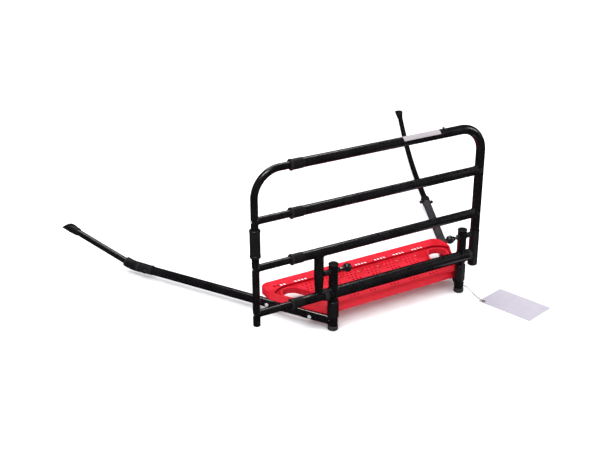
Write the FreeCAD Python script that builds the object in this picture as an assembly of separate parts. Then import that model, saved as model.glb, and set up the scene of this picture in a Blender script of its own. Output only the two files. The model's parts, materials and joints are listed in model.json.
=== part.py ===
import FreeCAD, Part
import math
import os

# Bed assist rail: a telescoping, fold-down safety rail whose splayed arms go under a mattress.
# X runs along the rail, Y goes back under the bed, Z is up. Millimetres.
# It is laid out from the left post's axis on the floor, then moved so that the origin is under the
# middle of its box.

V = FreeCAD.Vector

# ---- driving dimensions: rail -------------------------------------------------------------------
OUTER_D = 25.4            # thick tubes
OUTER_WALL = 1.5
INNER_D = 19.05           # thin tubes that slide in them
INNER_WALL = 1.2
TOP_Z = 484.0             # axis of the top bar
BAR_PITCH = 125.4
POST_FOOT_Z = 78.0        # lower end of both posts
POST_SPAN = 693.0         # left post axis to right post axis, closed
TRAVEL = 335.0            # how far the left end pulls out
MOUTH_X = 108.0           # open end of the four thick bar tubes
BEND_R = 71.0
COLLAR_D = 29.6
COLLAR_X = (98.0, 133.0)
INNER_END_X = 575.0       # how far the thin tubes reach into the thick ones
COUPLING_Z = (263.5, 337.0)
COUPLING_D = 28.0
POST_SLEEVE_TOP_Z = 182.0
POST_SLEEVE_D = 27.4
LABEL_X = (428.0, 545.0)
LABEL_T = 0.2
LOCK_BUTTON_X = 560.5
LOCK_BUTTON_TRAVEL = 2.2

# ---- driving dimensions: base ---------------------------------------------------------------------
LEG_X = (226.0, 649.0)
LEG_TOP_Z = 192.5
LATCH_GAP = 44.0          # leg axis to the post or strut that its pin locks
PIN_Z = 170.0
PIN_D = 8.0
PIN_HOUSING_D = 15.0
PIN_HOUSING_TAIL = 17.0    # leg axis to the housing's end on the knob side
KNOB_D = 24.0
KNOB_NECK_R = 6.8
KNOB_OFFSET = 42.5        # leg axis to knob centre
NOSE_GAP = 0.4            # pin nose to tube wall when the pin is held back
COILS = 6
COIL_WIRE = 0.9
COIL_PITCH = 1.76
SOCKET_Z = (38.0, 84.5)
SOCKET_D = 30.0
FOOT_H = 12.0
FOOT_D = 28.0
HINGE_D = 31.8
HINGE_OVERHANG = 20.0     # past each leg axis
SPACER_OFFSET = 23.6      # leg axis to the spacer that keeps the rail centred
RUNNING_GAP = 0.1
ARM_Z = 24.5
ARM_SPLAY = 28.8          # degrees from straight back
ARM_LENGTH = 604.0        # leg axis to the end of the arm tube
ARM_SLEEVE = (598.0, 640.0)
ARM_SLEEVE_D = 28.4
ARM_LIP_D = 29.4
ROD_COLLAR = (642.0, 697.0)     # covers the left rod's bend
ROD_COLLAR_D = 29.4
CLAMP_AT = 614.0
CLAMP_D = 6.0
GUIDE_AT = 552.0
# Each rod, in distances from the leg axis along the arm: inner end, corner of its bend, where it stops
# inside its tip; then the bend's radius and its rise in degrees.
LEFT_ROD = (222.0, 674.0, 902.0, 130.0, 16.5)
RIGHT_ROD = (330.0, 1040.0, 1370.0, 1993.0, 13.86)
TIP_LENGTH = 52.0
TIP_OVERLAP = 25.0

# ---- driving dimensions: board ---------------------------------------------------------------------
# Corners of the board's right half, as half width, distance back and corner radius.
BOARD_EDGE = ((218.0, 17.5, 14.0), (309.0, 168.0, 60.0), (309.0, 232.0, 28.0))
RIM = 5.0
PANEL_HALF = 245.0
PANEL_Y = (30.0, 190.0)         # the sunk panel between the near and far rims
PANEL_END = (245.0, 129.0, 60.0)        # round ends of the panel: half width, distance back, radius
BOARD_Z = (37.2, 57.2)
PANEL_DROP = 6.0
SKIN = 5.0
RIDGE_Y = (84.0, 96.0)
RIM_SKIN = 2.6
RIM_LIP = 8.0                   # height left of the far wall where it is cut away
RIM_OPEN_HALF = 260.0
GROUP_PITCH = 67.0
SLOT_SHIFT = 7.5                # how far right of the middle each row of groups is centred
SLOT_Y = 197.0
SLOT_SIZE = (12.0, 8.0)
SLOT_PITCH = 10.5
BOSS_SHIFT = -17.0
BOSS_Y = 170.0
FAR_SHIFT = 15.0
FAR_ROWS = (116.0, 130.0, 144.0, 158.0, 173.0)
NEAR_SHIFT = 21.0
NEAR_ROWS = (38.0, 50.0, 66.0)
HOLE_SIZE = (8.0, 6.0)
HOLE_PITCH = 11.5
HAND_HOLE = (240.0, 132.0)
HAND_SIZE = (55.0, 90.0)
HAND_LIP = (5.0, 3.0)           # width and height of the lip round each hand hole
SCREW_AT = (64.0, 198.0)        # along each arm
SCREW_D = 5.2
LUG = 9.0
LUG_WIDTH = 26.0

# ---- driving dimensions: hang tag ------------------------------------------------------------------
TAG_CORNER = V(658, -77, 0)
TAG_SIZE = (106.0, 166.0)
TAG_TURN = 14.5
TAG_T = 0.6
EYE_AT = (8.0, 12.0)            # from the card's two edges
EYE_D = (10.0, 6.0)
STRING_D = 1.6

BAR_Z = [TOP_Z - BAR_PITCH * i for i in range(4)]
HINGE_Z = BAR_Z[3]
STRUT_X = LEG_X[0] - LATCH_GAP
MID_X = (LEG_X[0] + LEG_X[1]) / 2
X_AXIS = V(1, 0, 0)
Z_AXIS = V(0, 0, 1)

nodes = {}


# ---- helpers --------------------------------------------------------------------------------------
def cyl(radius, start, end):
    axis = end - start
    return Part.makeCylinder(radius, axis.Length, start, axis)


def pipe(diameter, wall, start, end):
    return cyl(diameter / 2, start, end).cut(cyl(diameter / 2 - wall, start, end))


def ring(outer, inner, start, end):
    return cyl(outer / 2, start, end).cut(cyl(inner / 2, start, end))


def along_x(x, z):
    return V(x, 0, z)


def elbow_path(start, corner, end, radius):
    """Two straight runs joined by a tangent arc."""
    a = (start - corner).normalize()
    b = (end - corner).normalize()
    half = a.getAngle(b) / 2
    reach = radius / math.tan(half)
    p = corner + a * reach
    q = corner + b * reach
    middle = (a + b).normalize()
    centre = corner + middle * (radius / math.sin(half))
    m = centre - middle * radius
    return Part.Wire([Part.LineSegment(start, p).toShape(), Part.Arc(p, m, q).toShape(),
                      Part.LineSegment(q, end).toShape()])


def swept(path, diameter):
    start = path.Edges[0].valueAt(path.Edges[0].FirstParameter)
    tangent = path.Edges[0].tangentAt(path.Edges[0].FirstParameter)
    profile = Part.Wire([Part.Circle(start, tangent, diameter / 2).toShape()])
    return path.makePipeShell([profile], True, True)


def swept_tube(path, diameter, wall):
    return swept(path, diameter).cut(swept(path, diameter - 2 * wall))


def turned(points, base, axis):
    """Solid of revolution: points are (distance along the axis, radius)."""
    wire = Part.makePolygon([V(r, 0, h) for h, r in points] + [V(points[0][1], 0, points[0][0])])
    return spun(wire, base, axis)


def spun(wire, base, axis):
    """A closed outline in the XZ plane, turned about Z, then stood on base along axis."""
    solid = Part.Face(wire).revolve(V(0, 0, 0), Z_AXIS, 360)
    solid.Placement = FreeCAD.Placement(base, FreeCAD.Rotation(Z_AXIS, axis))
    return solid


def put(name, shape):
    nodes[name] = shape


def group(shapes):
    return Part.makeCompound(shapes)


def plug(diameter, bore, base, axis, depth=16.0, cap=3.5):
    """Push-in end plug: a domed cap outside the tube and a ribbed stem inside it."""
    r = diameter / 2
    stem = bore / 2
    return turned([(-depth, 0), (-depth, stem - 0.8), (-depth + 3, stem), (0, stem), (0, r),
                   (cap * 0.55, r), (cap, r - 1.6), (cap, 0)], base, axis)


# ---- folding rail -----------------------------------------------------------------------------------
def rail_tubes():
    start = along_x(MOUTH_X, TOP_Z)
    corner = along_x(POST_SPAN, TOP_Z)
    path = elbow_path(start, corner, along_x(POST_SPAN, POST_FOOT_Z), BEND_R)
    top = swept_tube(path, OUTER_D, OUTER_WALL)
    button_hole = cyl(3.1, V(LOCK_BUTTON_X, 0, TOP_Z), V(LOCK_BUTTON_X, 0, TOP_Z + 20))
    top = top.cut(button_hole)
    pin_hole = cyl(PIN_D / 2 + 0.3, V(POST_SPAN - 20, 0, PIN_Z), V(POST_SPAN, 0, PIN_Z))
    put("top_tube_and_right_post", top.cut(pin_hole))
    post = cyl(OUTER_D / 2, V(POST_SPAN, 0, POST_FOOT_Z), V(POST_SPAN, 0, TOP_Z - BEND_R))
    sleeve = ring(POST_SLEEVE_D, OUTER_D, V(POST_SPAN, 0, POST_FOOT_Z), V(POST_SPAN, 0, POST_SLEEVE_TOP_Z))
    for i, name in ((1, "outer_bar_upper"), (2, "outer_bar_middle"), (3, "outer_bar_lower")):
        z = BAR_Z[i]
        bar = pipe(OUTER_D, OUTER_WALL, along_x(MOUTH_X, z), along_x(POST_SPAN, z)).cut(post)
        if i == 3:
            sleeve = sleeve.cut(cyl(OUTER_D / 2, along_x(POST_SPAN - 40, z), along_x(POST_SPAN, z)))
        put(name, largest_solid(bar))
    put("right_post_sleeve", sleeve.cut(pin_hole))
    foot = V(POST_SPAN, 0, POST_FOOT_Z)
    put("right_post_plug", plug(POST_SLEEVE_D, OUTER_D - 2 * OUTER_WALL, foot, -Z_AXIS))


def largest_solid(shape):
    """The main piece of a cut, without the slivers that coping leaves."""
    return max(shape.Solids, key=lambda s: s.Volume)


def strut():
    top = BAR_Z[2]
    waist = HINGE_Z + 58
    r = OUTER_D / 2
    lower = r - 2.0
    outer = turned([(0, 0), (0, r), (top - waist, r), (top - HINGE_Z - 22, lower), (top - HINGE_Z, lower),
                    (top - HINGE_Z, 0)], V(STRUT_X, 0, top), V(0, 0, -1))
    w = OUTER_WALL
    inner = turned([(0, 0), (0, r - w), (top - waist, r - w), (top - HINGE_Z - 22, lower - w),
                    (top - HINGE_Z, lower - w), (top - HINGE_Z, 0)], V(STRUT_X, 0, top), V(0, 0, -1))
    body = outer.cut(inner)
    for z in (top, HINGE_Z):
        body = body.cut(cyl(r, along_x(STRUT_X - 30, z), along_x(STRUT_X + 30, z)))
    body = body.cut(cyl(PIN_D / 2 + 0.3, V(STRUT_X, 0, PIN_Z), V(STRUT_X + 20, 0, PIN_Z)))
    put("strut", largest_solid(body))


def mouth_collars():
    """Plastic bushings at the open ends of the four thick tubes."""
    a, b = COLLAR_X
    r = COLLAR_D / 2
    bore = INNER_D / 2 + RUNNING_GAP
    tube = OUTER_D / 2
    names = ("mouth_collar_top", "mouth_collar_upper", "mouth_collar_middle", "mouth_collar_lower")
    for z, name in zip(BAR_Z, names):
        lip = 3.0
        profile = [(0, bore), (0, r - 1.2), (1.2, r), (lip + 1.5, r), (lip + 2.5, r - 1.1),
                   (b - a - 1, r - 1.1), (b - a, r - 1.9), (b - a, tube), (MOUTH_X - a, tube),
                   (MOUTH_X - a, tube - OUTER_WALL),
                   (b - a - 6, tube - OUTER_WALL), (b - a - 6, bore)]
        put(name, turned(profile, along_x(a, z), X_AXIS))


def rail_details():
    a, b = LABEL_X
    r = OUTER_D / 2
    band = ring(OUTER_D + 2 * LABEL_T, OUTER_D, along_x(a, TOP_Z), along_x(b, TOP_Z))
    wedge = Part.makeBox(b - a, 60, 60, V(a, -60, TOP_Z))
    wedge.rotate(V(a, 0, TOP_Z), X_AXIS, -22)
    put("blank_label", largest_solid(band.common(wedge)))
    left = (STRUT_X + OUTER_D / 2 + 0.5, LEG_X[0] - SPACER_OFFSET)
    right = (LEG_X[1] + SPACER_OFFSET, POST_SPAN - POST_SLEEVE_D / 2 - 0.3)
    spacer_l = ring(30.0, OUTER_D, along_x(left[0], HINGE_Z), along_x(left[1], HINGE_Z))
    spacer_r = ring(33.0, OUTER_D, along_x(right[0], HINGE_Z), along_x(right[1], HINGE_Z))
    put("hinge_spacers", group([spacer_l, spacer_r]))
    base = V(LOCK_BUTTON_X, 0, TOP_Z + INNER_D / 2 + 0.4)
    head = OUTER_D / 2 - INNER_D / 2 - 0.4 + LOCK_BUTTON_TRAVEL + 0.3
    put("lock_button", turned([(0, 0), (0, 2.6), (0.4, 3.0), (head, 3.0), (head, 3.8), (head + 1.2, 3.7),
                               (head + 2.3, 2.3), (head + 2.3, 0)], base, Z_AXIS))


# ---- end that pulls out -------------------------------------------------------------------------------
def extension():
    path = elbow_path(along_x(INNER_END_X, TOP_Z), along_x(0, TOP_Z), along_x(0, COUPLING_Z[0] + 36), BEND_R)
    tube = swept_tube(path, INNER_D, INNER_WALL)
    hole = cyl(3.4, V(LOCK_BUTTON_X, 0, TOP_Z), V(LOCK_BUTTON_X, 0, TOP_Z + 20))
    put("inner_top_tube", tube.cut(hole))
    put("lower_left_post", pipe(INNER_D, INNER_WALL, V(0, 0, POST_FOOT_Z), V(0, 0, COUPLING_Z[0] + 36)))
    post = cyl(INNER_D / 2, V(0, 0, POST_FOOT_Z), V(0, 0, TOP_Z - BEND_R))
    for i, name in ((1, "inner_bar_upper"), (2, "inner_bar_middle"), (3, "inner_bar_lower")):
        bar = pipe(INNER_D, INNER_WALL, along_x(0, BAR_Z[i]), along_x(INNER_END_X, BAR_Z[i])).cut(post)
        put(name, largest_solid(bar))
    lo, hi = COUPLING_Z
    r = COUPLING_D / 2
    tall = hi - lo
    profile = [(0, INNER_D / 2), (0, r - 0.9), (0.9, r), (6, r), (6.8, r - 0.7), (tall - 6.8, r - 0.7),
               (tall - 6, r), (tall - 0.9, r), (tall, r - 0.9), (tall, INNER_D / 2)]
    put("post_coupling", turned(profile, V(0, 0, lo), Z_AXIS))
    put("left_post_plug", plug(INNER_D, INNER_D - 2 * INNER_WALL, V(0, 0, POST_FOOT_Z), V(0, 0, -1)))
    rivets = []
    for z in (BAR_Z[1], BAR_Z[2], BAR_Z[3]):
        rivets.append(turned([(0, 0), (0, 3.6), (0.8, 3.6), (2.2, 2.2), (2.2, 0)],
                             V(-INNER_D / 2 + 0.35, 0, z), V(-1, 0, 0)).cut(post))
    put("bar_rivets", group([largest_solid(s) for s in rivets]))


# ---- base -----------------------------------------------------------------------------------------------
def arm_direction(side):
    a = math.radians(ARM_SPLAY)
    return V(side * math.sin(a), math.cos(a), 0)


def arm_point(side, distance, z=ARM_Z):
    x = LEG_X[0] if side < 0 else LEG_X[1]
    return V(x, 0, z) + arm_direction(side) * distance


def cross_hole(side, at, diameter):
    """Level drill straight through an arm."""
    d = arm_direction(side)
    across = V(d.y, -d.x, 0) * 20
    return cyl(diameter / 2, arm_point(side, at) - across, arm_point(side, at) + across)


def legs():
    hinge = cyl(HINGE_D / 2, along_x(LEG_X[0] - 40, HINGE_Z), along_x(LEG_X[1] + 40, HINGE_Z))
    r = OUTER_D / 2
    for side, x, word in ((-1, LEG_X[0], "left"), (1, LEG_X[1], "right")):
        housing = cyl(PIN_HOUSING_D / 2, V(x - 40, 0, PIN_Z), V(x + 40, 0, PIN_Z))
        upper = pipe(OUTER_D, OUTER_WALL, V(x, 0, HINGE_Z), V(x, 0, LEG_TOP_Z - 3)).cut(hinge).cut(housing)
        lower = pipe(OUTER_D, OUTER_WALL, V(x, 0, 4), V(x, 0, HINGE_Z)).cut(hinge)
        put(word + "_leg_upper", largest_solid(upper))
        put(word + "_leg_lower", largest_solid(lower))
        top = V(x, 0, LEG_TOP_Z - 3)
        put(word + "_leg_cap", plug(OUTER_D + 1.6, OUTER_D - 2 * OUTER_WALL, top, Z_AXIS, 12))
        foot = turned([(0, 0), (0, FOOT_D / 2 - 1.5), (1.5, FOOT_D / 2), (FOOT_H, FOOT_D / 2 - 0.4),
                       (FOOT_H, r), (4, r), (4, 0)], V(x, 0, 0), Z_AXIS)
        put(word + "_foot", foot)
        lo, hi = SOCKET_Z
        s = SOCKET_D / 2
        profile = [(0, r), (0, s - 1), (1, s), (hi - lo - 1, s), (hi - lo, s - 1), (hi - lo, r)]
        put(word + "_leg_socket", turned(profile, V(x, 0, lo), Z_AXIS))


def hinge():
    a = LEG_X[0] - HINGE_OVERHANG
    b = LEG_X[1] + HINGE_OVERHANG
    bush_od = HINGE_D - 2 * OUTER_WALL
    put("hinge_tube", pipe(HINGE_D, OUTER_WALL, along_x(a, HINGE_Z), along_x(b, HINGE_Z)))
    bore = OUTER_D / 2 + RUNNING_GAP
    for x, way, word in ((a, 1, "left"), (b, -1, "right")):
        profile = [(-3, bore), (-3, HINGE_D / 2 + 0.6), (0, HINGE_D / 2 + 0.6), (0, bush_od / 2),
                   (32, bush_od / 2), (32, bore)]
        put(word + "_hinge_bush", turned(profile, along_x(x, HINGE_Z), V(way, 0, 0)))


def ball_knob(bore, centre, out):
    """Ball with a short neck, bored for the end of its pin."""
    ball = KNOB_D / 2
    joint = math.sqrt(ball ** 2 - KNOB_NECK_R ** 2)
    corners = [V(KNOB_NECK_R, 0, joint), V(KNOB_NECK_R, 0, ball + 2.5), V(bore, 0, ball + 2.5), V(bore, 0, 2),
               V(0, 0, 2), V(0, 0, -ball)]
    edges = [Part.LineSegment(a, b).toShape() for a, b in zip(corners, corners[1:])]
    edges.append(Part.Arc(corners[-1], V(ball, 0, 0), corners[0]).toShape())
    return spun(Part.Wire(edges), centre, out)


def lock_pins():
    """Sprung pull pins: the nose points at the strut or the post, the ball knob is on the other side."""
    for word, x, way in (("left", LEG_X[0], -1), ("right", LEG_X[1], 1)):
        out = V(way, 0, 0)
        base = V(x, 0, PIN_Z)
        far_wall = LATCH_GAP - (OUTER_D / 2 if way < 0 else POST_SLEEVE_D / 2)
        nose_end = far_wall - NOSE_GAP
        bore = PIN_D / 2 + RUNNING_GAP / 2
        r = PIN_HOUSING_D / 2
        tail = -PIN_HOUSING_TAIL
        pocket = r - 1.1
        profile = [(tail, bore), (tail, r), (nose_end - 1.5, r), (nose_end - 0.5, r - 1),
                   (nose_end - 0.5, bore), (12, bore), (12, pocket), (tail + 2, pocket), (tail + 2, bore)]
        put(word + "_pin_housing", turned(profile, base, out))
        shank = PIN_D / 2
        pin = turned([(-KNOB_OFFSET + 2, 0), (-KNOB_OFFSET + 2, shank), (-4, shank), (-4, pocket - 0.3),
                      (-1, pocket - 0.3), (-1, shank), (nose_end - 1.2, shank), (nose_end, shank - 1.2),
                      (nose_end, 0)], base, out)
        put(word + "_lock_pin", pin)
        put(word + "_pin_knob", ball_knob(shank, base - out * KNOB_OFFSET, out))
        coils = []
        for i in range(COILS):
            at = base + out * (tail + 2.6 + i * COIL_PITCH)
            coils.append(Part.makeTorus(shank + 1.1, COIL_WIRE / 2, at, out))
        put(word + "_pin_spring", group(coils))


def arms():
    tube_bore = OUTER_D - 2 * OUTER_WALL
    bore = INNER_D / 2 + RUNNING_GAP
    for side, x, word, rod in ((-1, LEG_X[0], "left", LEFT_ROD), (1, LEG_X[1], "right", RIGHT_ROD)):
        d = arm_direction(side)
        across = V(d.y, -d.x, 0)
        leg = cyl(OUTER_D / 2, V(x, 0, 4), V(x, 0, 100))
        foot = cyl(FOOT_D / 2, V(x, 0, 0), V(x, 0, FOOT_H))
        tube = pipe(OUTER_D, OUTER_WALL, arm_point(side, 0), arm_point(side, ARM_LENGTH)).cut(leg).cut(foot)
        for at in SCREW_AT:
            tube = tube.cut(cross_hole(side, at, SCREW_D))
        put(word + "_arm_tube", largest_solid(tube))
        a, b = ARM_SLEEVE
        r = ARM_SLEEVE_D / 2
        lip = ARM_LIP_D / 2
        sleeve = turned([(0, OUTER_D / 2), (0, r - 0.8), (0.8, r), (b - a - 12, r), (b - a - 10, lip),
                         (b - a - 1, lip), (b - a, lip - 1), (b - a, bore), (ARM_LENGTH - a, bore),
                         (ARM_LENGTH - a, OUTER_D / 2)], arm_point(side, a), d)
        put(word + "_arm_sleeve", sleeve.cut(cross_hole(side, CLAMP_AT, CLAMP_D + 0.1)))
        put(word + "_rod_guide", turned([(0, bore), (0, tube_bore / 2), (30, tube_bore / 2), (30, bore)],
                                        arm_point(side, GUIDE_AT), d))
        start, corner, end, radius, slope = rod
        rise = math.radians(slope)
        up_way = d * math.cos(rise) + Z_AXIS * math.sin(rise)
        vertex = arm_point(side, corner)
        last = vertex + up_way * ((end - corner) / math.cos(rise))
        path = elbow_path(arm_point(side, start), vertex, last, radius)
        put(word + "_arm_rod", swept_tube(path, INNER_D, INNER_WALL))
        if side < 0:
            a, b = ROD_COLLAR
            end = vertex + up_way * ((b - corner) / math.cos(rise))
            around = elbow_path(arm_point(side, a), vertex, end, radius)
            put("left_rod_collar", swept(around, ROD_COLLAR_D).cut(swept(around, INNER_D)))
        put(word + "_rod_tip", rod_tip(last, up_way, across))


def rod_tip(at, way, across):
    """Flattened wedge that covers the end of the rod: round at the rod, wide and thin at the end."""
    start = at - way * TIP_OVERLAP
    up = across.cross(way).normalize()
    if up.z < 0:
        up = up * -1
    steps = [(0.0, 10.8, 10.8, 0.0), (10.0, 11.6, 11.4, 0.3), (24.0, 13.4, 11.8, 0.6), (38.0, 15.0, 9.0, -0.2),
             (TIP_LENGTH, 14.4, 3.2, -4.6)]
    wires = []
    for s, half_w, half_h, lift in steps:
        centre = start + way * s + up * lift
        wires.append(superellipse(centre, across, up, half_w, half_h))
    body = Part.makeLoft(wires, True, False)
    return body.cut(cyl(INNER_D / 2, start - way * 2, at))


def superellipse(centre, u, w, a, b, power=2.6, count=24):
    """Rounded box outline as one closed smooth curve."""
    pts = []
    for i in range(count):
        t = 2 * math.pi * i / count
        c, s = math.cos(t), math.sin(t)
        x = a * math.copysign(abs(c) ** (2 / power), c)
        y = b * math.copysign(abs(s) ** (2 / power), s)
        pts.append(centre + u * x + w * y)
    curve = Part.BSplineCurve()
    curve.interpolate(pts, PeriodicFlag=True)
    return Part.Wire([curve.toShape()])


def arm_fasteners():
    """Clamp screws in the arm sleeves, then a rivet and a short screw at each of the board's lugs."""
    heads = []
    screws = []
    shank = CLAMP_D / 2
    for side in (-1, 1):
        d = arm_direction(side)
        outward = V(d.y, -d.x, 0) * side
        for way in (-1, 1):
            tip = arm_point(side, CLAMP_AT) + outward * way * (INNER_D / 2 + 0.4)
            neck = ARM_SLEEVE_D / 2 - INNER_D / 2
            profile = [(0, 0), (0, shank), (neck, shank), (neck, 5.4), (neck + 6, 5.4), (neck + 8, 3.8),
                       (neck + 8, 0)]
            heads.append(turned(profile, tip, outward * way))
        through = OUTER_WALL + 0.8
        r = SCREW_D / 2 - 0.1
        for at in SCREW_AT:
            face = arm_point(side, at) + outward * (OUTER_D / 2)
            rivet = [(-through, 0), (-through, r), (0, r), (0, 5.2), (1.6, 5.2), (3.2, 3.0), (3.2, 0)]
            screws.append(turned(rivet, face, outward))
            inner = arm_point(side, at) - outward * (OUTER_D / 2 + LUG)
            short = [(-through - LUG, 0), (-through - LUG, r), (0, r), (0, 4.6), (3, 4.6), (3, 0)]
            screws.append(turned(short, inner, outward * -1))
    put("arm_clamp_screws", group(heads))
    put("board_screws", group(screws))
    return screws


# ---- board ------------------------------------------------------------------------------------------------
def outline(z):
    """Closed outline of the board with rounded corners."""
    corners = list(BOARD_EDGE) + [(-x, y, r) for x, y, r in reversed(BOARD_EDGE)]
    places = [V(MID_X + x, y, z) for x, y, r in corners]
    ends = []
    for i, p in enumerate(places):
        r = corners[i][2]
        a = (places[i - 1] - p).normalize()
        b = (places[(i + 1) % len(places)] - p).normalize()
        half_turn = a.getAngle(b) / 2
        reach = r / math.tan(half_turn)
        m = p + (a + b).normalize() * (r / math.sin(half_turn) - r)
        ends.append((p + a * reach, m, p + b * reach))
    edges = []
    for i, (s, m, e) in enumerate(ends):
        edges.append(Part.Arc(s, m, e).toShape())
        edges.append(Part.LineSegment(e, ends[(i + 1) % len(ends)][0]).toShape())
    return Part.Wire(edges)


def slab(z0, z1, inset=0.0):
    face = Part.Face(outline(z0))
    if inset:
        face = face.makeOffset2D(-inset)
    return face.extrude(V(0, 0, z1 - z0))


def oblong(x, y, length, width, z0, z1, turn=0.0):
    """Upright rounded slot, long way along X before it is turned about its centre."""
    r = width / 2
    h = length / 2 - r
    a, b = V(x - h, y - r, z0), V(x + h, y - r, z0)
    c, d = V(x + h, y + r, z0), V(x - h, y + r, z0)
    edges = [Part.LineSegment(a, b).toShape(), Part.Arc(b, V(x + h + r, y, z0), c).toShape(),
             Part.LineSegment(c, d).toShape(), Part.Arc(d, V(x - h - r, y, z0), a).toShape()]
    body = Part.Face(Part.Wire(edges)).extrude(V(0, 0, z1 - z0))
    if turn:
        body.rotate(V(x, y, 0), Z_AXIS, turn)
    return body


def block(half, y0, y1, z0, z1):
    """Box centred on the board's middle."""
    return Part.makeBox(2 * half, y1 - y0, z1 - z0, V(MID_X - half, y0, z0))


def board_blank():
    """Pressed shell of the board: raised rim, sunk panel, ribbed across, open below."""
    z0, z1 = BOARD_Z
    panel = z1 - PANEL_DROP
    body = slab(z0, z1)
    top_edges = [e for e in body.Edges if all(abs(v.Point.z - z1) < 0.01 for v in e.Vertexes)]
    body = body.makeFillet(2.6, top_edges)
    near, far = PANEL_Y
    sunk = block(PANEL_HALF, near, far, panel, z1 + 5)
    x, y, r = PANEL_END
    for side in (-1, 1):
        at = V(MID_X + side * x, y, panel)
        sunk = sunk.fuse(cyl(r, at, at + V(0, 0, z1 + 5 - panel)))
    body = body.cut(sunk.common(slab(panel, z1 + 5, RIM)))
    body = body.cut(slab(z0 - 1, panel - SKIN, RIM - 1))
    rim_y = BOARD_EDGE[-1][1]
    body = body.cut(block(RIM_OPEN_HALF, far + RIM_SKIN, rim_y - RIM_SKIN, z0 - 1, z1 - RIM_SKIN))
    body = body.cut(block(RIM_OPEN_HALF, rim_y - 2 * RIM, rim_y + RIM, z0 - 1, z1 - RIM_LIP))
    a, b = RIDGE_Y
    return body.fuse(block(170, a, b, panel - 1, z1))


def lugs(top):
    """Blocks under the board that the arms' screws go into."""
    foot = ARM_Z - 11
    shapes = []
    for side in (-1, 1):
        d = arm_direction(side)
        inward = V(d.y, -d.x, 0) * -side
        for at in SCREW_AT:
            lug = Part.makeBox(LUG, LUG_WIDTH, top - foot, V(0, -LUG_WIDTH / 2, foot))
            lug.rotate(V(0, 0, 0), Z_AXIS, -ARM_SPLAY * side)
            lug.translate(arm_point(side, at, 0) + inward * (OUTER_D / 2 + (LUG if side > 0 else 0)))
            shapes.append(lug)
    return shapes


def hole_pattern(z0, z1):
    """Slots through the far rim and clusters of small holes through the panel."""
    cutters = []
    length, width = SLOT_SIZE
    for k in range(-4, 4):
        x = MID_X + SLOT_SHIFT + k * GROUP_PITCH
        for i in range(4):
            cutters.append(oblong(x + (i - 1.5) * SLOT_PITCH, SLOT_Y, length, width, z0, z1, 90))
    for k in range(-3, 3):
        for shift, rows in ((FAR_SHIFT, FAR_ROWS), (NEAR_SHIFT, NEAR_ROWS)):
            x = MID_X + shift + k * GROUP_PITCH
            for j, y in enumerate(rows):
                stagger = HOLE_PITCH / 2 * (j % 2)
                for i in range(3):
                    at = x + (i - 1.25) * HOLE_PITCH + stagger
                    cutters.append(oblong(at, y, HOLE_SIZE[0], HOLE_SIZE[1], z0, z1, 90))
    return cutters


def board(screws):
    z0, z1 = BOARD_Z
    panel = z1 - PANEL_DROP
    body = board_blank()
    (x0, y0, _), (x1, y1, _) = BOARD_EDGE[:2]
    end_slope = math.degrees(math.atan2(x1 - x0, y1 - y0))
    width, length = HAND_SIZE
    lip, lip_height = HAND_LIP
    holes = []
    for side in (-1, 1):
        x = MID_X + side * HAND_HOLE[0]
        angle = 90 - side * end_slope
        rim = oblong(x, HAND_HOLE[1], length + 2 * lip, width + 2 * lip, z0, panel + lip_height, angle)
        body = body.fuse(rim.common(slab(z0, z1, 1.0)))
        holes.append(oblong(x, HAND_HOLE[1], length, width, z0 - 5, z1 + 5, angle))
    for k in range(-2, 4):
        at = V(MID_X + BOSS_SHIFT + k * GROUP_PITCH, BOSS_Y, panel - 0.5)
        body = body.fuse(turned([(0, 0), (0, 12), (2.2, 10.6), (3.4, 7.5), (3.4, 0)], at, Z_AXIS))
    for lug in lugs(panel - SKIN + 1):
        body = body.fuse(lug)
    body = body.cut(holes)
    for cutter in hole_pattern(z0 - 5, z1 + 5):
        body = body.cut(cutter)
    for screw in screws:
        body = body.cut(screw)
    put("board", largest_solid(body))
    print("board solids %d" % len(body.Solids))


# ---- hang tag ---------------------------------------------------------------------------------------------
def hang_tag():
    """Card on the floor, joined to the right foot by a thin string."""
    w, length = TAG_SIZE
    card = Part.makeBox(w, length, TAG_T, V(0, -length, 0))
    card = card.makeFillet(4.0, [e for e in card.Edges if abs(e.tangentAt(e.FirstParameter).z) > 0.99])
    across, down = EYE_AT
    eyelet = ring(EYE_D[0], EYE_D[1], V(across, -down, 0), V(across, -down, TAG_T + 0.7))
    card = card.cut(cyl(EYE_D[0] / 2, V(across, -down, -1), V(across, -down, 3)))
    for shape in (card, eyelet):
        shape.rotate(V(0, 0, 0), Z_AXIS, TAG_TURN)
        shape.translate(TAG_CORNER)
    put("tag_card", card)
    put("tag_eyelet", eyelet)
    turn = math.radians(TAG_TURN)
    return TAG_CORNER + V(across * math.cos(turn) + down * math.sin(turn),
                          across * math.sin(turn) - down * math.cos(turn), 0)


def string_route(eye):
    """Points of the tag's string, from the side of the right leg to the eyelet."""
    side = V(LEG_X[1] + OUTER_D / 2, 0, 0)
    lie = STRING_D / 2
    hanging = ((0.7, 0, 14.4), (4.4, -3, 14.2), (8.5, -9, 12.2), (10.5, -17, 9.0), (11.5, -26.5, 5.4),
               (11, -36, 2.8), (9.5, -46, 1.9), (7.5, -57, 1.6))
    over_card = ((-2.0, 13, 1.2 + lie), (-1.0, 6.2, 1.3 + 2 * lie), (0, 0, 1.3 + lie))
    return [side + V(*p) for p in hanging] + [eye + V(*p) for p in over_card]


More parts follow.
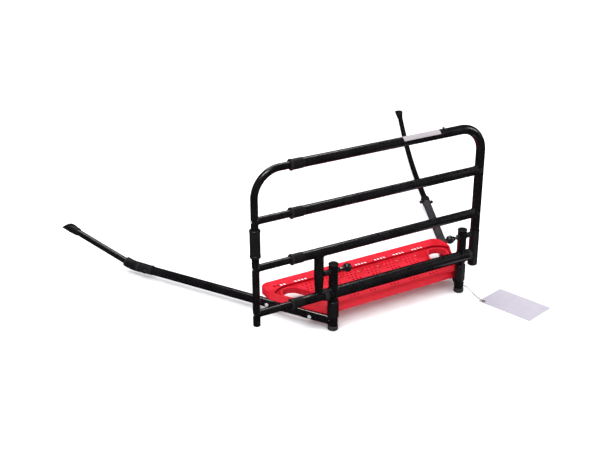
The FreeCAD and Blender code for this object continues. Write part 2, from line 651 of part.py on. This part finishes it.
def tangent_tube(points, diameter):
    """Straight runs joined by arcs that are as large as the runs allow."""
    edges = []
    last = points[0]
    for i in range(1, len(points) - 1):
        p = points[i]
        a = points[i - 1] - p
        b = points[i + 1] - p
        turn = math.pi - a.getAngle(b)
        reach = 0.45 * min(a.Length, b.Length)
        radius = reach / math.tan(turn / 2)
        a.normalize()
        b.normalize()
        s, e = p + a * reach, p + b * reach
        m = p + (a + b).normalize() * (radius / math.cos(turn / 2) - radius)
        edges.append(Part.LineSegment(last, s).toShape())
        edges.append(Part.Arc(s, m, e).toShape())
        last = e
    edges.append(Part.LineSegment(last, points[-1]).toShape())
    path = Part.Wire(edges)
    tube = swept(path, diameter)
    print("string length %.1f" % path.Length)
    return tube


def write_nodes():
    cord_side = ("tag_card", "tag_eyelet", "tag_string")
    solids = Part.makeCompound([s for n, s in nodes.items() if n not in cord_side])
    box = solids.optimalBoundingBox(False, False)
    shift = V(-(box.XMin + box.XMax) / 2, -(box.YMin + box.YMax) / 2, -box.ZMin)
    print("shift %.4f %.4f %.4f" % (shift.x, shift.y, shift.z))
    print("size %.1f %.1f %.1f" % (box.XLength, box.YLength, box.ZLength))
    os.makedirs("parts", exist_ok=True)
    for name, shape in nodes.items():
        moved = shape.copy()
        moved.translate(shift)
        if not moved.isValid():
            print("not valid: " + name)
        moved.exportStep("parts/" + name + ".step")
    print("%d nodes" % len(nodes))


rail_tubes()
strut()
mouth_collars()
rail_details()
extension()
legs()
hinge()
lock_pins()
arms()
board(arm_fasteners())
put("tag_string", tangent_tube(string_route(hang_tag()), STRING_D))
write_nodes()
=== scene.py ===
import json
import math

import bmesh
import bpy
from mathutils import Matrix, Vector


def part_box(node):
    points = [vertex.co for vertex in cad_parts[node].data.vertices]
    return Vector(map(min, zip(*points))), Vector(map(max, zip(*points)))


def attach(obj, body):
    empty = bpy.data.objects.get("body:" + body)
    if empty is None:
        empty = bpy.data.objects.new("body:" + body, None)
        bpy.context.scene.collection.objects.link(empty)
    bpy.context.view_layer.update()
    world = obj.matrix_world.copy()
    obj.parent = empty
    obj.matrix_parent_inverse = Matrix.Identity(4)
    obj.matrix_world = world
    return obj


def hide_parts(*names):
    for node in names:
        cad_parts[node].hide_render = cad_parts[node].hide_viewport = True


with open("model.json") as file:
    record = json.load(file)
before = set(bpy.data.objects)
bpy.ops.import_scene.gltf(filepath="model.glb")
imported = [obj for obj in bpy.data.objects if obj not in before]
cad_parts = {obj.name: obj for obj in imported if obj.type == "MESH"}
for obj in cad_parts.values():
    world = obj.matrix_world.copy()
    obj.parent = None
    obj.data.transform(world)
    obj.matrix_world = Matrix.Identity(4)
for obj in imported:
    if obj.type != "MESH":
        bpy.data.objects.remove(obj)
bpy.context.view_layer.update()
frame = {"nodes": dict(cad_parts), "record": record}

# ---- places, in metres, measured from the floor under the left post's axis -------------------------
post_low, post_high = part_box("lower_left_post")
ORIGIN = Vector(((post_low.x + post_high.x) / 2, (post_low.y + post_high.y) / 2, 0.0))
BAR_Z = (0.4840, 0.3586, 0.2332, 0.1078)
RIGHT_POST_X = 0.693
STRUT_X = 0.182
LEG_X = (0.226, 0.649)
THICK_R = 0.0127
THIN_R = 0.009525
SLEEVE_R = 0.0137
HINGE_R = 0.0159
ARM_Z = 0.0245
ARM_SPLAY = math.radians(28.8)
X = Vector((1, 0, 0))
Z = Vector((0, 0, 1))


def at(x, y, z):
    """A point given from the floor under the left post, in the model's frame."""
    return ORIGIN + Vector((x, y, z))


# ---- camera --------------------------------------------------------------------------------------
CAMERA_AT = (-1.00566, -1.91291, 1.28333)
SENSOR_WIDTH = 36.0
CLIP_END = 50.0
YAW = math.radians(30.6165)
PITCH = math.radians(23.8935)
ROLL = math.radians(0.2150)
LENS = 58.94


def make_camera():
    data = bpy.data.cameras.new("camera")
    data.lens = LENS
    data.sensor_width = SENSOR_WIDTH
    data.clip_end = CLIP_END
    ahead = Vector((math.sin(YAW) * math.cos(PITCH), math.cos(YAW) * math.cos(PITCH), -math.sin(PITCH)))
    level = Vector((math.cos(YAW), -math.sin(YAW), 0.0))
    under = ahead.cross(level)
    right = math.cos(ROLL) * level + math.sin(ROLL) * under
    down = math.cos(ROLL) * under - math.sin(ROLL) * level
    turn = Matrix((right, -down, -ahead)).transposed().to_4x4()
    camera = bpy.data.objects.new("camera", data)
    camera.matrix_world = Matrix.Translation(at(*CAMERA_AT)) @ turn
    bpy.context.collection.objects.link(camera)
    bpy.context.scene.camera = camera


# ---- floor and light -----------------------------------------------------------------------------
FLOOR_SIZE = 60.0
FLOOR_DROP = 0.0005
FLOOR_COLOUR = (0.93, 0.93, 0.94, 1)
WORLD_COLOUR = (0.98, 0.98, 1.0, 1)
WORLD_STRENGTH = 1.1
SUN_WIDTH = math.radians(75)
SUN_STRENGTH = 0.7
LAMPS = (  # name, place, target, size in metres, power in watts
    ("key", (-1.5, -1.6, 3.0), (0, -0.2, 0.2), (1.6, 0.7), 42),
    ("top", (0.3, 0.9, 3.2), (0.1, 0.1, 0.1), (2.6, 0.6), 45),
    ("fill", (2.6, -1.8, 1.3), (0, 0, 0.2), (0.8, 1.4), 16),
)


def make_floor():
    bpy.ops.mesh.primitive_plane_add(size=FLOOR_SIZE, location=(0, 0, -FLOOR_DROP))
    floor = bpy.context.object
    floor.name = "floor"
    mat = bpy.data.materials.new("floor")
    mat.use_nodes = True
    shader = mat.node_tree.nodes["Principled BSDF"]
    shader.inputs["Base Color"].default_value = FLOOR_COLOUR
    shader.inputs["Roughness"].default_value = 0.75
    shader.inputs["Specular IOR Level"].default_value = 0.1
    floor.data.materials.append(mat)
    floor.visible_glossy = False


def area_light(name, place, target, size, power):
    data = bpy.data.lights.new(name, "AREA")
    data.shape = "RECTANGLE"
    data.size, data.size_y = size
    data.energy = power
    lamp = bpy.data.objects.new(name, data)
    lamp.location = Vector(place)
    lamp.rotation_euler = (Vector(target) - Vector(place)).to_track_quat("-Z", "Y").to_euler()
    bpy.context.collection.objects.link(lamp)


def soft_sun(name, toward):
    """Very wide sun that lights the sweep evenly and leaves no streak on gloss."""
    data = bpy.data.lights.new(name, "SUN")
    data.angle = SUN_WIDTH
    data.energy = SUN_STRENGTH
    lamp = bpy.data.objects.new(name, data)
    lamp.rotation_euler = Vector(toward).to_track_quat("-Z", "Y").to_euler()
    lamp.visible_glossy = False
    bpy.context.collection.objects.link(lamp)


def make_light():
    world = bpy.data.worlds.new("studio")
    world.use_nodes = True
    background = world.node_tree.nodes["Background"]
    background.inputs["Color"].default_value = WORLD_COLOUR
    background.inputs["Strength"].default_value = WORLD_STRENGTH
    bpy.context.scene.world = world
    world.cycles_visibility.glossy = False
    bpy.context.scene.view_settings.view_transform = "Standard"
    soft_sun("overhead", (0.25, 0.35, -1.0))
    for lamp in LAMPS:
        area_light(*lamp)


# ---- materials -----------------------------------------------------------------------------------
MIX_COLOUR_A = 6  # places of the colour sockets on a Mix node, which share their names with others
MIX_COLOUR_B = 7
MIX_COLOUR_OUT = 2


class Look:
    """A material being built: its shader, and short ways to add nodes."""

    def __init__(self, name, roughness, metallic=0.0, **plain):
        self.mat = bpy.data.materials.new(name)
        self.mat.use_nodes = True
        self.tree = self.mat.node_tree
        self.shader = self.tree.nodes["Principled BSDF"]
        self.shader.inputs["Roughness"].default_value = roughness
        self.shader.inputs["Metallic"].default_value = metallic
        for key, value in plain.items():
            self.shader.inputs[key.replace("_", " ")].default_value = value
        self.coords = self.add("ShaderNodeTexCoord").outputs["Object"]

    def add(self, kind, **settings):
        node = self.tree.nodes.new(kind)
        for key, value in settings.items():
            setattr(node, key, value)
        return node

    def join(self, output, socket):
        self.tree.links.new(output, socket)

    def stretched(self, scale):
        mapping = self.add("ShaderNodeMapping")
        mapping.inputs["Scale"].default_value = scale
        self.join(self.coords, mapping.inputs["Vector"])
        return mapping.outputs["Vector"]

    def noise(self, scale, detail=2.0, coords=None, rough=0.5):
        node = self.add("ShaderNodeTexNoise")
        node.inputs["Scale"].default_value = scale
        node.inputs["Detail"].default_value = detail
        node.inputs["Roughness"].default_value = rough
        self.join(coords or self.coords, node.inputs["Vector"])
        return node.outputs["Fac"]

    def grain(self, scale, coords=None):
        node = self.add("ShaderNodeTexVoronoi", feature="SMOOTH_F1")
        node.inputs["Scale"].default_value = scale
        self.join(coords or self.coords, node.inputs["Vector"])
        return node.outputs["Distance"]

    def band(self, value, low, high, start, end):
        node = self.add("ShaderNodeMapRange")
        node.inputs["From Min"].default_value = low
        node.inputs["From Max"].default_value = high
        node.inputs["To Min"].default_value = start
        node.inputs["To Max"].default_value = end
        self.join(value, node.inputs["Value"])
        return node.outputs["Result"]

    def mix(self, factor, first, second):
        """Two colours, or a colour over an output, blended by factor."""
        node = self.add("ShaderNodeMix", data_type="RGBA")
        self.join(factor, node.inputs["Factor"])
        for value, socket in ((first, node.inputs[MIX_COLOUR_A]),
                              (second, node.inputs[MIX_COLOUR_B])):
            if isinstance(value, tuple):
                socket.default_value = (*value, 1)
            else:
                self.join(value, socket)
        return node.outputs[MIX_COLOUR_OUT]

    def bumps(self, *layers):
        """Each layer is (height output, distance in metres, strength)."""
        last = None
        for height, distance, strength in layers:
            node = self.add("ShaderNodeBump")
            node.inputs["Distance"].default_value = distance
            node.inputs["Strength"].default_value = strength
            self.join(height, node.inputs["Height"])
            if last:
                self.join(last, node.inputs["Normal"])
            last = node.outputs["Normal"]
        self.join(last, self.shader.inputs["Normal"])

    def colour(self, output):
        self.join(output, self.shader.inputs["Base Color"])

    def roughness(self, output):
        self.join(output, self.shader.inputs["Roughness"])

    def painted_shade(self, distance):
        """Painted shade mask: 1 deep in holes and tight corners, where shade falls, 0 in the open."""
        node = self.add("ShaderNodeAmbientOcclusion", samples=8)
        node.inputs["Distance"].default_value = distance
        return self.band(node.outputs["AO"], 0.25, 0.80, 0.9, 0.0)

    def edges(self, low=0.52, high=0.58):
        """1 on sharp outer edges, 0 elsewhere."""
        geometry = self.add("ShaderNodeNewGeometry")
        return self.band(geometry.outputs["Pointiness"], low, high, 0.0, 1.0)


def powder_coat(name, dark, light, rough, coat):
    """Baked-on powder coat: faint orange peel, slightly patchy gloss, fine dust."""
    look = Look(name, rough, Coat_Weight=coat, Coat_Roughness=0.12, Specular_IOR_Level=0.5)
    patches = look.noise(22, 3)
    peel = look.noise(620, 2)
    dust = look.noise(2600, 4, rough=0.7)
    base = look.mix(look.band(patches, 0.35, 0.65, 0, 1), dark, light)
    specks = look.band(dust, 0.66, 0.78, 0, 0.35)
    look.colour(look.mix(specks, base, (0.09, 0.09, 0.095)))
    look.roughness(look.band(look.noise(70, 3), 0.3, 0.7, rough - 0.05, rough + 0.08))
    look.bumps((peel, 0.00018, 0.35), (dust, 0.00003, 0.3))
    return look.mat


def moulded(name, dark, light, rough, grain_size, coat=0.0, gloss=0.3):
    """Injection moulded plastic: spark-eroded grain, paler rubbed edges."""
    look = Look(name, rough, Coat_Weight=coat, Coat_Roughness=0.2, Specular_IOR_Level=gloss)
    cells = look.grain(1 / grain_size)
    clouds = look.noise(35, 3)
    base = look.mix(look.band(clouds, 0.3, 0.7, 0, 1), dark, light)
    worn = tuple(c * 1.5 + 0.006 for c in light)
    look.colour(look.mix(look.edges(), base, worn))
    look.roughness(look.band(look.noise(160, 2), 0.3, 0.7, rough - 0.06, rough + 0.06))
    look.bumps((cells, 0.00006, 0.5), (clouds, 0.0004, 0.15))
    return look.mat


def bright_metal(name, colour, rough, stretch, metallic=1.0):
    """Plated or turned steel: fine tool marks along one way, with dull patches."""
    look = Look(name, rough, metallic=metallic)
    marks = look.noise(900, 3, look.stretched(stretch))
    haze = look.noise(240, 3)
    darker = tuple(c * 0.72 for c in colour)
    look.colour(look.mix(look.band(haze, 0.35, 0.7, 0, 1), colour, darker))
    look.roughness(look.band(haze, 0.3, 0.7, rough - 0.08, rough + 0.12))
    look.bumps((marks, 0.00004, 0.4))
    return look.mat


def paper(name, base_colour, rough, coat):
    """Coated card or film: faint fibres and uneven whiteness."""
    look = Look(name, rough, Coat_Weight=coat, Coat_Roughness=0.25)
    fibres = look.noise(1400, 4, look.stretched((1.0, 0.35, 1.0)), 0.65)
    clouds = look.noise(45, 3)
    darker = tuple(c * 0.93 for c in base_colour)
    look.colour(look.mix(look.band(clouds, 0.3, 0.7, 0, 1), base_colour, darker))
    look.bumps((fibres, 0.00003, 0.3))
    return look.mat


def twisted_string(name):
    """Thin twisted twine: slanting strands and loose fuzz."""
    look = Look(name, 0.85, Sheen_Weight=0.3)
    strands = look.add("ShaderNodeTexWave", wave_type="BANDS", bands_direction="DIAGONAL")
    strands.inputs["Scale"].default_value = 420
    strands.inputs["Distortion"].default_value = 1.2
    look.join(look.coords, strands.inputs["Vector"])
    fuzz = look.noise(3000, 4)
    look.colour(look.mix(strands.outputs["Fac"], (0.020, 0.020, 0.022), (0.055, 0.053, 0.056)))
    look.bumps((strands.outputs["Fac"], 0.0002, 0.7), (fuzz, 0.0001, 0.5))
    return look.mat


def red_plastic(name):
    """Glossy red moulding with soft sink marks, faint flow lines and a light haze on its edges; painted shade
    darkens it in holes and tight corners.
    """
    look = Look(name, 0.34, Coat_Weight=0.08, Coat_Roughness=0.2, Specular_IOR_Level=0.3,
                Subsurface_Weight=0.06, Subsurface_Scale=0.004)
    look.shader.inputs["Subsurface Radius"].default_value = (1.0, 0.25, 0.2)
    flow = look.noise(16, 4, look.stretched((0.5, 1.6, 1.0)))
    cells = look.grain(1500)
    base = look.mix(look.band(flow, 0.35, 0.65, 0, 1), (0.47, 0.0025, 0.010), (0.56, 0.004, 0.015))
    # painted shade: a deep red is mixed in where the occlusion mask finds holes and tight corners
    base = look.mix(look.painted_shade(0.014), base, (0.14, 0.001, 0.003))
    look.colour(look.mix(look.edges(0.51, 0.60), base, (0.66, 0.014, 0.032)))
    look.roughness(look.band(look.noise(60, 3), 0.3, 0.7, 0.28, 0.42))
    look.bumps((cells, 0.00004, 0.4), (flow, 0.0008, 0.2))
    return look.mat


def make_materials():
    return {
        "black_tube": powder_coat("black_tube", (0.0035, 0.003, 0.0035), (0.006, 0.005, 0.006), 0.28, 0.5),
        "arm_gloss": powder_coat("arm_gloss", (0.004, 0.0035, 0.004), (0.007, 0.006, 0.007), 0.16, 1.0),
        # painted reflection: a lighter grey copy of the arm coat stands in for bright surroundings reflected
        # in the right arm tube
        "arm_painted_reflection": powder_coat("arm_painted_reflection", (0.034, 0.030, 0.034), (0.048, 0.043, 0.048), 0.22, 0.6),
        "fitting": powder_coat("fitting", (0.006, 0.005, 0.006), (0.009, 0.008, 0.009), 0.42, 0.15),
        "black_plastic": moulded("black_plastic", (0.005, 0.0045, 0.005), (0.008, 0.007, 0.008), 0.42, 0.0007,
                                 gloss=0.22),
        "knob_plastic": moulded("knob_plastic", (0.007, 0.007, 0.008), (0.011, 0.011, 0.012), 0.24, 0.002,
                                0.5, 0.5),
        "foot_rubber": moulded("foot_rubber", (0.014, 0.014, 0.015), (0.024, 0.023, 0.023), 0.72, 0.0009),
        "red_board": red_plastic("red_board"),
        "screw_metal": bright_metal("screw_metal", (0.86, 0.86, 0.88), 0.34, (1, 1, 6), 0.45),
        "pin_steel": bright_metal("pin_steel", (0.66, 0.66, 0.68), 0.32, (8, 1, 1)),
        "label_film": paper("label_film", (0.37, 0.335, 0.36), 0.35, 0.3),
        "label_card": paper("label_card", (0.46, 0.43, 0.50), 0.5, 0.2),
        "eyelet_metal": bright_metal("eyelet_metal", (0.05, 0.05, 0.055), 0.4, (1, 1, 1), 0.5),
        "tag_cord": twisted_string("tag_cord"),
    }


# the right arm tube takes the lighter copy of the arm coat, a painted reflection
OWN_LOOKS = {"left_arm_tube": "arm_gloss", "right_arm_tube": "arm_painted_reflection"}


def dress_cad_nodes(looks):
    """Every CAD node that stays gets its slot's procedural material."""
    slots = {part["node"]: part["material_slot"] for part in frame["record"]["subparts"]}
    slots.update(OWN_LOOKS)
    for name, node in frame["nodes"].items():
        node.data.materials.clear()
        node.data.materials.append(looks[slots[name]])


# ---- weld beads ----------------------------------------------------------------------------------
BEAD_SIDES = 8
BEAD_SWELL = 0.14
THICK_BEAD = (0.0016, 22)  # radius in metres, ripples round the tube
STRUT_BEAD = (0.0015, 20)
THIN_BEAD = (0.0012, 18)
STRUT_FLAT = 0.002  # the strut's lower end is pinched this much narrower


def cope_points(start, way, radius, other, other_way, other_radius, side, count=72):
    """The closed line where a tube along way meets a round tube along other_way."""
    u = way.orthogonal().normalized()
    v = way.cross(u)
    flat = way - way.dot(other_way) * other_way
    points = []
    for i in range(count):
        t = 2 * math.pi * i / count
        p = start + radius * (math.cos(t) * u + math.sin(t) * v)
        gap = p - other
        gap = gap - gap.dot(other_way) * other_way
        a, b, c = flat.dot(flat), 2 * gap.dot(flat), gap.dot(gap) - other_radius ** 2
        root = math.sqrt(max(b * b - 4 * a * c, 0.0))
        points.append(p + way * ((-b + side * root) / (2 * a)))
    return points


def add_bead(bm, points, radius, ripples):
    """A rippled bead along a closed line of points."""
    sides = BEAD_SIDES
    rings = []
    n = len(points)
    for i, p in enumerate(points):
        along = (points[(i + 1) % n] - points[i - 1]).normalized()
        u = along.cross(Z if abs(along.z) < 0.9 else X).normalized()
        v = along.cross(u)
        swell = radius * (1 + BEAD_SWELL * math.sin(2 * math.pi * ripples * i / n))
        rings.append([bm.verts.new(p + swell * (math.cos(a) * u + math.sin(a) * v))
                      for a in (2 * math.pi * k / sides for k in range(sides))])
    for i in range(n):
        nxt = rings[(i + 1) % n]
        best = min(range(sides), key=lambda k: (nxt[k].co - rings[i][0].co).length)
        for k in range(sides):
            bm.faces.new((rings[i][k], rings[i][(k + 1) % sides],
                          nxt[(k + 1 + best) % sides], nxt[(k + best) % sides]))


def finish_welds(name, bm, looks, body):
    """The beads in bm as one piece of tube coating on a body."""
    bmesh.ops.recalc_face_normals(bm, faces=bm.faces)
    mesh = bpy.data.meshes.new(name)
    bm.to_mesh(mesh)
    bm.free()
    mesh.shade_smooth()
    piece = bpy.data.objects.new(name, mesh)
    bpy.context.collection.objects.link(piece)
    piece.data.materials.append(looks["black_tube"])
    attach(piece, body)


def rail_welds(looks):
    bm = bmesh.new()
    for z, post_r in ((BAR_Z[1], THICK_R), (BAR_Z[2], THICK_R), (BAR_Z[3], SLEEVE_R)):
        line = cope_points(at(RIGHT_POST_X - 0.1, 0, z), X, THICK_R, at(RIGHT_POST_X, 0, z), Z, post_r, -1)
        add_bead(bm, line, *THICK_BEAD)
    for z, way in ((BAR_Z[2], 1), (BAR_Z[3], -1)):
        radius = THICK_R if way > 0 else THICK_R - STRUT_FLAT
        line = cope_points(at(STRUT_X, 0, z - way * 0.06), Z * way, radius, at(STRUT_X, 0, z), X, THICK_R, -1)
        add_bead(bm, line, *STRUT_BEAD)
    finish_welds("rail_welds", bm, looks, "rail")


def base_welds(looks):
    bm = bmesh.new()
    for i, x in enumerate(LEG_X):
        for way in (1, -1):
            line = cope_points(at(x, 0, BAR_Z[3] - way * 0.07), Z * way, THICK_R,
                               at(x, 0, BAR_Z[3]), X, HINGE_R, -1)
            add_bead(bm, line, *THICK_BEAD)
        side = -1 if i == 0 else 1
        arm = Vector((side * math.sin(ARM_SPLAY), math.cos(ARM_SPLAY), 0))
        line = cope_points(at(x, 0, ARM_Z) + arm * 0.1, -arm, THICK_R, at(x, 0, ARM_Z), Z, THICK_R, -1)
        add_bead(bm, line, *THICK_BEAD)
    finish_welds("base_welds", bm, looks, "base")


def left_post_welds(looks):
    bm = bmesh.new()
    for z in BAR_Z[1:]:
        line = cope_points(at(0.1, 0, z), -X, THIN_R, at(0, 0, z), Z, THIN_R, -1)
        add_bead(bm, line, *THIN_BEAD)
    finish_welds("left_post_welds", bm, looks, "extension")


# ---- hang tag string -----------------------------------------------------------------------------
STRING_D = 0.0016
STRING_ORDER = 3


def string_route():
    """Points of the tag's string, from the side of the right leg to the eyelet."""
    low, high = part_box("tag_eyelet")
    eye = Vector(((low.x + high.x) / 2, (low.y + high.y) / 2, 0))
    x = LEG_X[1] + THICK_R
    lie = STRING_D / 2
    leg_side = [at(x + 0.0007, 0, 0.0144), at(x + 0.0044, -0.003, 0.0142),
                at(x + 0.0085, -0.009, 0.0122), at(x + 0.0105, -0.017, 0.0090),
                at(x + 0.0115, -0.0265, 0.0054), at(x + 0.011, -0.036, 0.0028),
                at(x + 0.0095, -0.046, 0.0019), at(x + 0.0075, -0.057, 0.0016)]
    tag_side = [eye + Vector((-0.0020, 0.013, 0.0012 + lie)),
                eye + Vector((-0.0010, 0.0062, 0.0013 + 2 * lie)),
                eye + Vector((0, 0, 0.0013 + lie))]
    return leg_side + tag_side


def make_string(looks):
    curve = bpy.data.curves.new("tag_string_twine", "CURVE")
    curve.dimensions = "3D"
    curve.bevel_depth = STRING_D / 2
    curve.bevel_resolution = 4
    curve.resolution_u = 10
    curve.use_fill_caps = True
    points = string_route()
    spline = curve.splines.new("NURBS")
    spline.points.add(len(points) - 1)
    for knot, p in zip(spline.points, points):
        knot.co = (*p, 1)
    spline.order_u = STRING_ORDER
    spline.use_endpoint_u = True
    piece = bpy.data.objects.new("tag_string_twine", curve)
    bpy.context.collection.objects.link(piece)
    curve.materials.append(looks["tag_cord"])
    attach(piece, "base")
    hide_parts("tag_string")


make_camera()
make_floor()
make_light()
looks = make_materials()
make_string(looks)
dress_cad_nodes(looks)
rail_welds(looks)
base_welds(looks)
left_post_welds(looks)
